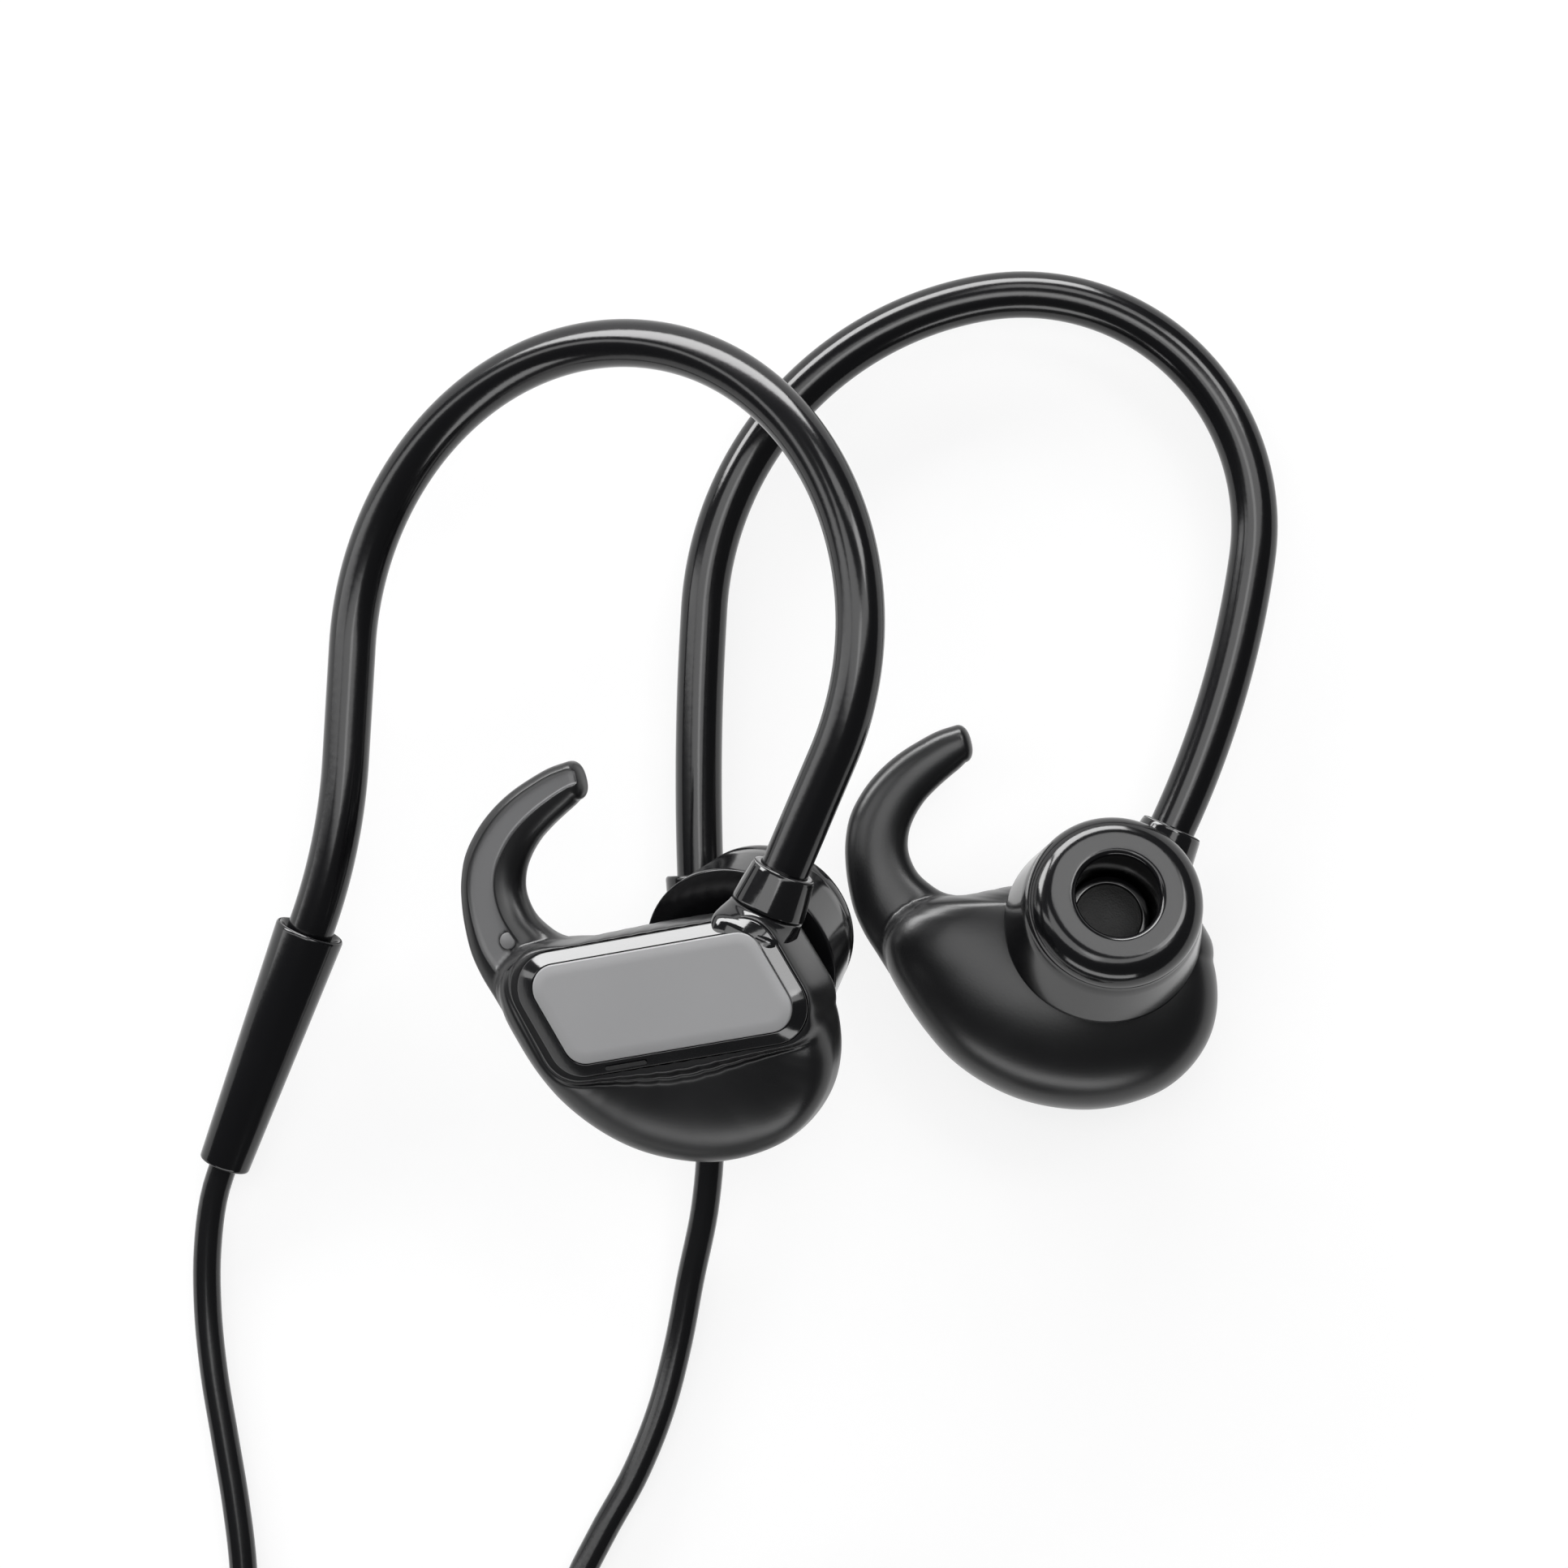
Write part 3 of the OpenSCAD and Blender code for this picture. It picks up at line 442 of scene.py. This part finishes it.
def leaning_rim(outset):
    """Rim of the leaning plate, moved out by outset: four arcs of the corner radius plus
    outset about the corners, joined by straight edges, run anticlockwise. The end by the wing
    moves out by half as much again."""
    rise, slant = np.radians([plate_rise, plate_slant])
    along = (plate_long / 2 - plate_corner) * np.array([np.cos(rise), np.sin(rise)])
    across = (plate_short / 2 - plate_corner) * np.array([np.cos(slant), np.sin(slant)])
    first = np.array([plate_rise - 90, plate_slant - 90, plate_rise + 90, plate_slant + 90])
    last = np.array([plate_slant - 90, plate_rise + 90, plate_slant + 90, plate_rise + 270])
    end = along * (1 + wider_end * max(outset, 0) / np.linalg.norm(along))
    centre = plate_middle + np.array([along - across, along + across, across - end, -end - across])
    turn = np.radians(np.linspace(first, last, 13, axis=1))
    arcs = centre[:, None] + (plate_corner + outset) * np.stack([np.cos(turn), np.sin(turn)], -1)
    t = np.linspace(0, 1, 12)[1:-1, None]
    edges = arcs[:, -1:] * (1 - t) + np.roll(arcs[:, :1], -1, axis=0) * t
    return np.concatenate([arcs, edges], axis=1).reshape(-1, 2)


def risen(rim, height):
    """A flat rim lifted to the height."""
    return np.column_stack([rim, np.full(len(rim), height)])


face_top = 4.6
bezel_top = 4.5
bezel_foot, bezel_edge, recess_floor = 1.4, 3.98, 3.9
bezel_profile = [
    (0, bezel_foot), (bezel_width, bezel_foot), (bezel_width, bezel_edge),
    (0.05, bezel_top), (0.03, bezel_top), (0.03, recess_floor),
]  # fmt: skip
bezel_steps = np.vstack([[(bezel_width, bezel_foot)], rounded(bezel_profile, 0.07)[10:-5], [(0.03, recess_floor)]])
neck_steps = np.array(
    [
        (2.3, 0, 0, 1), (2.33, -0.2, 0.12, 0.96), (2.38, -0.45, 0.36, 0.85), (2.42, -0.7, 0.66, 0.7),
        (2.46, -0.95, 0.9, 0.6), (2.48, -1.2, 1.05, 0.55), (2.5, -3.4, 1.05, 0.55),
    ]
)  # fmt: skip


def squared(steps, count=64):
    """Rings about +y from [radius, height, lift, power] steps: cosine and sine are raised to
    the power, so that a low one makes a circle nearly square, and the lift moves it along z."""
    radius, height, lift, power = steps.T[:, :, None]
    turn = 2 * np.pi * np.arange(count) / count
    c, s = (np.sign(wave) * np.abs(wave) ** power for wave in (np.cos(turn), np.sin(turn)))
    return np.stack(np.broadcast_arrays(radius * c, height, radius * s + lift), -1)


for side, place in sides.items():
    bezel = np.stack([risen(leaning_rim(outset), z) for outset, z in bezel_steps])
    neck = on_neck(squared(neck_steps), collar_length)
    make_piece(
        f"{side}_bezel",
        [shell(place(bezel)), shell(place(neck))],
        gloss_plastic,
        [f"{side}_face_shell"],
    )

# ---- Face plates -------------------------------------------------------------------------
# Satin grey plate, bare, glued into the bezel's recess with a hair of gap round it.
plate_steps = [(-0.02, 3.92), (-0.02, face_top - 0.12), (-0.05, face_top - 0.04), (-0.13, face_top), (-0.8, face_top)]
satin_grey = moulded("satin_grey", (0.2, 0.2, 0.203), 0.4, 0.09, 0.002, cloud=8, shift=0.05)
for side, place in sides.items():
    rings = np.stack([risen(leaning_rim(outset), z) for outset, z in plate_steps])
    make_piece(f"{side}_plate", [shell(place(rings))], satin_grey, [f"{side}_face_plate"])

# ---- Vents -------------------------------------------------------------------------------
# Narrow slot in the lower slope of the bezel, closed by a strip of fine black gauze.
bezel_slope = 35.5
slot_profile = [(1.35, 0.16, 0.0), (1.35, 0.16, 0.02), (1.31, 0.12, 0.02)]  # half length, half width, height
slot_place = (-3.1, -3.66, 0)
slot_height = 4.27
vent_gauze = moulded("vent_gauze", (0.003, 0.003, 0.003), 0.7, 0.06, 0.02)
for side, place in sides.items():
    turn = 2 * np.pi * np.arange(32) / 32
    reach, half, height = np.array(slot_profile).T[:, :, None]
    x = (reach - half) * np.sign(np.cos(turn)) + half * np.cos(turn)
    rings = np.stack(np.broadcast_arrays(x, half * np.sin(turn), height), -1)
    rings = turned(turned(rings, about_x=bezel_slope) + slot_place, about_z=plate_rise) + (*plate_middle, slot_height)
    make_piece(f"{side}_vent", [shell(place(rings))], vent_gauze, [f"{side}_vent_mesh"])

# ---- Silicone covers ---------------------------------------------------------------------
# Satin silicone boot stretched over the housing. It is a rounded body with a crease round
# the bezel, a full lower lobe, and a mouth on its ear side where the nozzle comes out.
rim_stops = [
    (-5.3, 3.5), (-2.9, 3.9), (0.0, 4.4), (3.0, 4.85), (5.8, 4.9), (7.8, 3.9), (9.4, 1.8), (10.4, -0.35), (10.75, -2.1),
    (10.75, -3.7), (10.35, -5.4), (9.3, -7.2), (7.6, -8.75), (5.3, -9.75), (2.8, -10.2), (0.6, -10.1), (-2.0, -9.5),
    (-4.4, -8.35), (-6.4, -6.85), (-7.9, -5.15), (-9.35, -3.0), (-10.4, -0.9), (-10.6, 0.7), (-9.9, 2.2), (-8.6, 3.1),
    (-7.0, 3.45),
]  # fmt: skip
body_middle = np.array([1.2, -1.0])
around = 2 * np.pi * np.arange(288) / 288


def polar(rim):
    """Distance of a closed rim from the body's middle, for each direction in around."""
    away = rim - body_middle
    turn = np.arctan2(away[:, 1], away[:, 0])
    order = np.argsort(turn)
    return np.interp(around, turn[order], np.hypot(*away[order].T), period=2 * np.pi)


def ring_at(distance, height):
    """Ring about the body's middle from its distances in each direction."""
    x, y = body_middle[0] + distance * np.cos(around), body_middle[1] + distance * np.sin(around)
    return np.stack([x, y, np.broadcast_to(height, distance.shape)], -1)


def on_nozzle(points):
    """+z out along the sound nozzle, from its base on the ear side."""
    return turned(turned(points, about_x=180), 19.3, -5.7) + (3.1, 1.3, -4.2)


def nozzle_ring(radius, height):
    """Ring about the nozzle, run the same way round as the body's rings."""
    return on_nozzle(np.stack([radius * np.cos(around), -radius * np.sin(around), np.full(len(around), height)], -1))


def smoothstep(x):
    """0 below 0, 1 above 1, and a smooth cubic between."""
    x = np.clip(x, 0, 1)
    return x * x * (3 - 2 * x)


widest = 0.4
lobe_height = 3.2
lobe_power = 2.4
lip_height, lip_width, lip_fall = 0.6, 0.42, 0.42
crease_depth, crease_place, crease_width = 0.16, 0.92, 0.24
bezel_reach = polar(leaning_rim(bezel_width + 0.04))
closed_rim = smooth_line(rim_stops[-3:] + rim_stops + rim_stops[:4], 0.2)
body_reach = polar(closed_rim)
spread = np.maximum(body_reach, bezel_reach + 0.35)
cover_rings = []
wide = smoothstep((spread - bezel_reach - 1.1) / 1.5)
for out in np.sin(np.linspace(0, np.pi / 2, 84)) ** 1.6:
    distance = bezel_reach + out * (spread - bezel_reach)
    beside = distance - bezel_reach
    lip = lip_height * (1 - smoothstep((beside - lip_width) / lip_fall)) * np.sqrt(1 - out**6)
    crease = crease_depth * wide * np.exp(-(((beside - crease_place) / crease_width) ** 2))
    lobe = (lobe_height - widest) * (1 - out**lobe_power) ** 0.5
    cover_rings.append(ring_at(distance, widest + lobe + lip - crease))
mouth = nozzle_ring(3.05, -0.2)
dome_power = 0.68
for a in np.linspace(0, np.pi / 2, 44)[1:]:
    ring = mouth + (ring_at(spread, widest) - mouth) * np.cos(a) ** dome_power
    ring[:, 2] = widest + (mouth[:, 2] - widest) * np.sin(a) ** dome_power
    cover_rings.append(ring)
cover_rings += [nozzle_ring(2.92, -0.45), nozzle_ring(2.9, -1.6)]
inner_wall = ((3.4, -2.6), (1.9, -1.7), (1.4, 0.2), (1.4, 1.5))
cover_rings += [ring_at(body_reach - inset, height) for inset, height in inner_wall]
cover_rings += [ring_at(bezel_reach, 1.8)]
cover_shell = np.stack(cover_rings)

# ---- Ear halves --------------------------------------------------------------------------
# Ear half of the housing: a moulded tray under the cover, which holds the driver and carries
# the sound nozzle that comes out through the cover's mouth.
tray_mouth = nozzle_ring(2.3, -1.1)
tray_rim = 1.1
tray_wall = 0.7
tray_inset = 1.5
quarter = np.linspace(0, np.pi / 2, 24)
tray_rings = []
for wall, turns in ((0, quarter), (tray_wall, quarter[::-1])):
    for a in turns:
        ring = tray_mouth + (ring_at(body_reach - tray_inset - wall, tray_rim) - tray_mouth) * np.cos(a) ** dome_power
        ring[:, 2] = tray_rim + (tray_mouth[:, 2] + wall - tray_rim) * np.sin(a) ** dome_power
        tray_rings.append(ring)
nozzle_tube = rounded([(2.6, -1.2), (2.6, 3.3), (2.1, 3.3), (2.1, -1.2)], 0.1)
for side, place in sides.items():
    tube = place(on_nozzle(turned(spun(nozzle_tube), about_x=90)))
    make_piece(
        f"{side}_ear_half",
        [shell(place(np.stack(tray_rings)), closed=True), shell(tube, closed=True)],
        gloss_plastic,
        [f"{side}_rear_shell"],
    )

# ---- Ear wings ---------------------------------------------------------------------------
# Crescent wing moulded in one with the cover. It springs from the body with a wide root and
# ends round, and its face side carries a flat sunk inlay inside a rounded ridge.
wing_height = 0.4
wing_thickness = 3.2
wing_around = 2 * np.pi * np.arange(128) / 128
dome_depth = 4.6
inlay_floor = 0.74
blend = 1.7
peg_place = np.array([-9.7, 3.4])
wing_edges = [
    (-10.2, -1.5, -2.0, 3.75), (-10.95, -0.3, -3.4, 3.65), (-11.85, 1.15, -5.3, 3.45), (-12.45, 2.5, -6.65, 3.65),
    (-12.8, 3.95, -7.65, 4.25), (-13.0, 5.5, -8.45, 5.05), (-13.0, 7.05, -8.95, 6.25), (-12.7, 8.6, -8.95, 7.4),
    (-12.0, 10.0, -8.6, 8.45), (-11.05, 11.25, -7.95, 9.5), (-9.8, 12.4, -7.1, 10.4), (-8.35, 13.35, -6.25, 11.15),
    (-7.0, 14.05, -5.65, 11.65), (-5.9, 14.4, -5.3, 12.0),
]  # fmt: skip


def body_height(flat, face):
    """Height of the cover's skin over or under its widest plane at flat points: the profile
    of its rings inside the rim, and a steep fall outside it."""
    away = flat - body_middle
    turn = np.arctan2(away[..., 1], away[..., 0])
    reach, seam, dome = (
        np.interp(turn, around, values, period=2 * np.pi)
        for values in (spread, bezel_reach, np.hypot(*(ring_at(spread, 0) - mouth)[:, :2].T))
    )
    beyond = np.hypot(away[..., 0], away[..., 1]) - reach
    inside = np.clip(1 + beyond / (reach - seam if face else dome), 0, 1)
    if face:
        high = (lobe_height - widest) * (1 - inside**lobe_power) ** 0.5
    else:
        high = dome_depth * (1 - inside ** (2 / dome_power)) ** (1 / (2 / dome_power))
    return high - 3 * np.clip(beyond, 0, None), beyond


def wing_grid():
    """Flattened rings between the wing's outer and inner edges, drawn in to a blunt round end.
    The face side is pressed flat to the inlay's floor where the inlay lies. Near the body both
    sides follow a soft maximum of the wing's height and the body's, and dip under its skin."""
    edges = smooth_line(wing_edges, 0.3)
    outer, inner = edges[:, None, :2], edges[:, None, 2:]
    close = np.radians(np.linspace(0, 88, 14))[1:, None, None]
    middle, half = (outer + inner) / 2, (inner - outer) / 2
    ahead = np.array([half[-1, 0, 1], -half[-1, 0, 0]]) * -0.55
    middle = np.concatenate([middle, middle[-1] + ahead * np.sin(close)])
    half = np.concatenate([half, half[-1] * np.cos(close) ** 0.8])
    end = np.concatenate([np.ones(len(edges)), np.cos(close[:, 0, 0]) ** 0.8])[:, None]
    f = (np.arange(len(end)) / len(end))[:, None]
    high = wing_thickness / 2 * (1 - 0.2 * f) * end
    c, s = np.cos(wing_around), np.sin(wing_around)
    w = np.sign(c) * np.abs(c) ** 0.85
    up = high * np.sign(s) * np.abs(s) ** 0.75
    flat = middle + half * w[None, :, None]
    last = 0.25 - 0.95 * (1 - smoothstep((f - 0.12) / 0.12))
    by_peg = smoothstep((np.hypot(*np.moveaxis(flat - peg_place, -1, 0)) - 0.6) / 0.12)
    inlay = smoothstep((w + 0.64) / 0.1) * smoothstep((last - w) / 0.12) * smoothstep((0.93 - f) / 0.03) * (s > 0)
    up = up + inlay * (inlay_floor * high - up)
    for face, part in ((True, s > 0), (False, s < 0)):
        body, beyond = body_height(flat, face)
        wing = np.abs(up) * (0.3 + 0.7 * smoothstep((beyond + 2) / 1.6))
        rim = np.abs(s) ** 0.4
        soft = np.log(np.exp(blend * wing) + np.exp(blend * np.clip(body, -3, 9) * rim)) / blend
        dip = 0.12 * smoothstep(-beyond / 1.2) + 1.5 * smoothstep((-beyond - 0.8) / 1.5)
        soft = np.clip(wing + (soft - wing) * smoothstep((1.6 - beyond) / 1.2) * rim - dip, 0.1 * np.abs(s), None)
        up = np.where(part, np.sign(s) * soft, up)
    return np.concatenate([flat, wing_height + up[..., None]], -1), inlay * by_peg


def silicone_with_inlay():
    """Satin silicone whose colour and roughness change where the inlay attribute is 1."""
    material = moulded("cover_silicone", (0.005, 0.005, 0.0055), 0.3, 0.18, 0.003, cloud=6)
    nodes, links = material.node_tree.nodes, material.node_tree.links
    surface = nodes["Principled BSDF"]
    shade, gloss = surface.inputs["Base Color"].links[0].from_socket, surface.inputs["Roughness"].links[0].from_socket
    mask = nodes.new("ShaderNodeAttribute")
    mask.attribute_name = "inlay"
    colour = nodes.new("ShaderNodeMix")
    colour.data_type = "RGBA"
    colour.inputs[7].default_value = (0.09, 0.09, 0.092, 1)
    rough = nodes.new("ShaderNodeMix")
    rough.inputs[3].default_value = 0.42
    links.new(mask.outputs["Fac"], colour.inputs[0])
    links.new(mask.outputs["Fac"], rough.inputs[0])
    links.new(shade, colour.inputs[6])
    links.new(gloss, rough.inputs[2])
    links.new(colour.outputs[2], surface.inputs["Base Color"])
    links.new(rough.outputs[0], surface.inputs["Roughness"])
    return material


cover_silicone = silicone_with_inlay()
wing_points, wing_inlay = wing_grid()
for side, place in sides.items():
    cover = make_piece(
        f"{side}_silicone_cover",
        [shell(place(cover_shell), closed=True), shell(place(wing_points))],
        cover_silicone,
        [f"{side}_cover"],
    )
    inlay = np.zeros(len(cover.data.vertices), np.float32)
    first = cover_shell.shape[0] * cover_shell.shape[1]
    inlay[first : first + wing_inlay.size] = wing_inlay.ravel()
    cover.data.attributes.new("inlay", "FLOAT", "POINT").data.foreach_set("value", inlay)

# ---- Wing pegs ---------------------------------------------------------------------------
# Small flat peg pressed into the wing's inlay, with a softened edge.
peg_profile = [(0.02, 1.74), (0.44, 1.74), (0.5, 1.7), (0.53, 1.62), (0.53, 0.9), (0.02, 0.9)]
peg_plastic = moulded("peg_plastic", (0.12, 0.12, 0.122), 0.4, 0.1, 0.003, shift=0.1)
for side, place in sides.items():
    rings = turned(spun(peg_profile, 40), about_x=90) + (*peg_place, 0)
    make_piece(f"{side}_peg", [shell(place(rings))], peg_plastic, [f"{side}_wing_peg"])

# ---- Ear tips ----------------------------------------------------------------------------
# Soft glossy mushroom tip: a thin skirt over a core that grips the nozzle, with a rolled
# front edge round the sound hole. It pulls off its nozzle and rides on its own body.
tip_length = 6.8
tip_radius = 6.3
core_radius = 2.65


def bow(middle, reach, first, last, count):
    """Arc of an ellipse about the middle with its two radii in reach, between two angles."""
    a = np.radians(np.linspace(first, last, count))[:, None]
    return np.array(middle) + reach * np.hstack([np.cos(a), np.sin(a)])


tip_profile = np.vstack(
    [
        [(core_radius + 0.1, 0.0), (tip_radius - 0.15, 0.0)],
        bow((tip_radius - 0.15, 0.12), (0.14, 0.12), -60, 0, 4),
        np.linspace((tip_radius - 0.05, 0.4), (5.62, 4.6), 6),
        bow((3.95, tip_length - 1.75), (1.6, 1.75), -8, 90, 24),
        [(3.4, tip_length)],
        bow((3.05, tip_length - 0.4), (0.4, 0.4), 90, 180, 8),
        [(core_radius, 0.1)],
    ]
)
tip_silicone = moulded("tip_silicone", (0.004, 0.004, 0.0045), 0.14, 0.5, 0.003, cloud=4)
for side, place in sides.items():
    rings = place(on_nozzle(turned(spun(tip_profile, 96), about_x=90) + (0, 0, 0.7)))
    make_piece(
        f"{side}_tip", [shell(rings, closed=True)], tip_silicone, [f"{side}_ear_tip"], f"{side}_tip"
    )

# ---- Inner and cable parts ---------------------------------------------------------------
# Pieces that keep the solid's own shape: the driver, the nozzle meshes, the memory wire, and
# the splitter, the ties and the plug at the cable's end.
finishes = {
    # The nozzle mesh is drawn nearly black, not steel grey: painted shade of the dark sound hole it sits in.
    "mesh": moulded("nozzle_mesh_painted_shade", (0.006, 0.006, 0.006), 0.6, 0.12, 0.05),
    "driver_metal": moulded("driver_steel", (0.45, 0.45, 0.47), 0.35, 0.1, 0.004, metal=1),
    "magnet_metal": moulded("magnet_nickel", (0.6, 0.6, 0.62), 0.2, 0.2, 0.003, metal=1),
    "diaphragm_film": moulded("diaphragm_film", (0.6, 0.5, 0.32), 0.25, 0.3, 0.003),
    "memory_wire": moulded("memory_wire_steel", (0.5, 0.5, 0.52), 0.3, 0.1, 0.003, metal=1),
    "tie_band": moulded("tie_band", (0.02, 0.02, 0.02), 0.6, 0.15, 0.03),
    "splitter_rubber": moulded("splitter_rubber", (0.014, 0.014, 0.015), 0.32, 0.2, 0.005),
    "relief_rubber": moulded("relief_rubber", (0.013, 0.013, 0.014), 0.34, 0.2, 0.005),
    "grip_plastic": moulded("grip_plastic", (0.013, 0.013, 0.014), 0.18, 0.3, 0.004, coat=0.5),
    "plug_metal": moulded("plug_gold", (0.8, 0.6, 0.28), 0.16, 0.15, 0.002, metal=1, shift=0.08),
    "insulator": moulded("plug_insulator", (0.012, 0.012, 0.012), 0.3, 0.2, 0.003),
}
for entry in frame["record"]["subparts"]:
    node = frame["nodes"][entry["node"]]
    if not node.hide_render:
        node.data.materials.clear()
        node.data.materials.append(finishes[entry["material_slot"]])
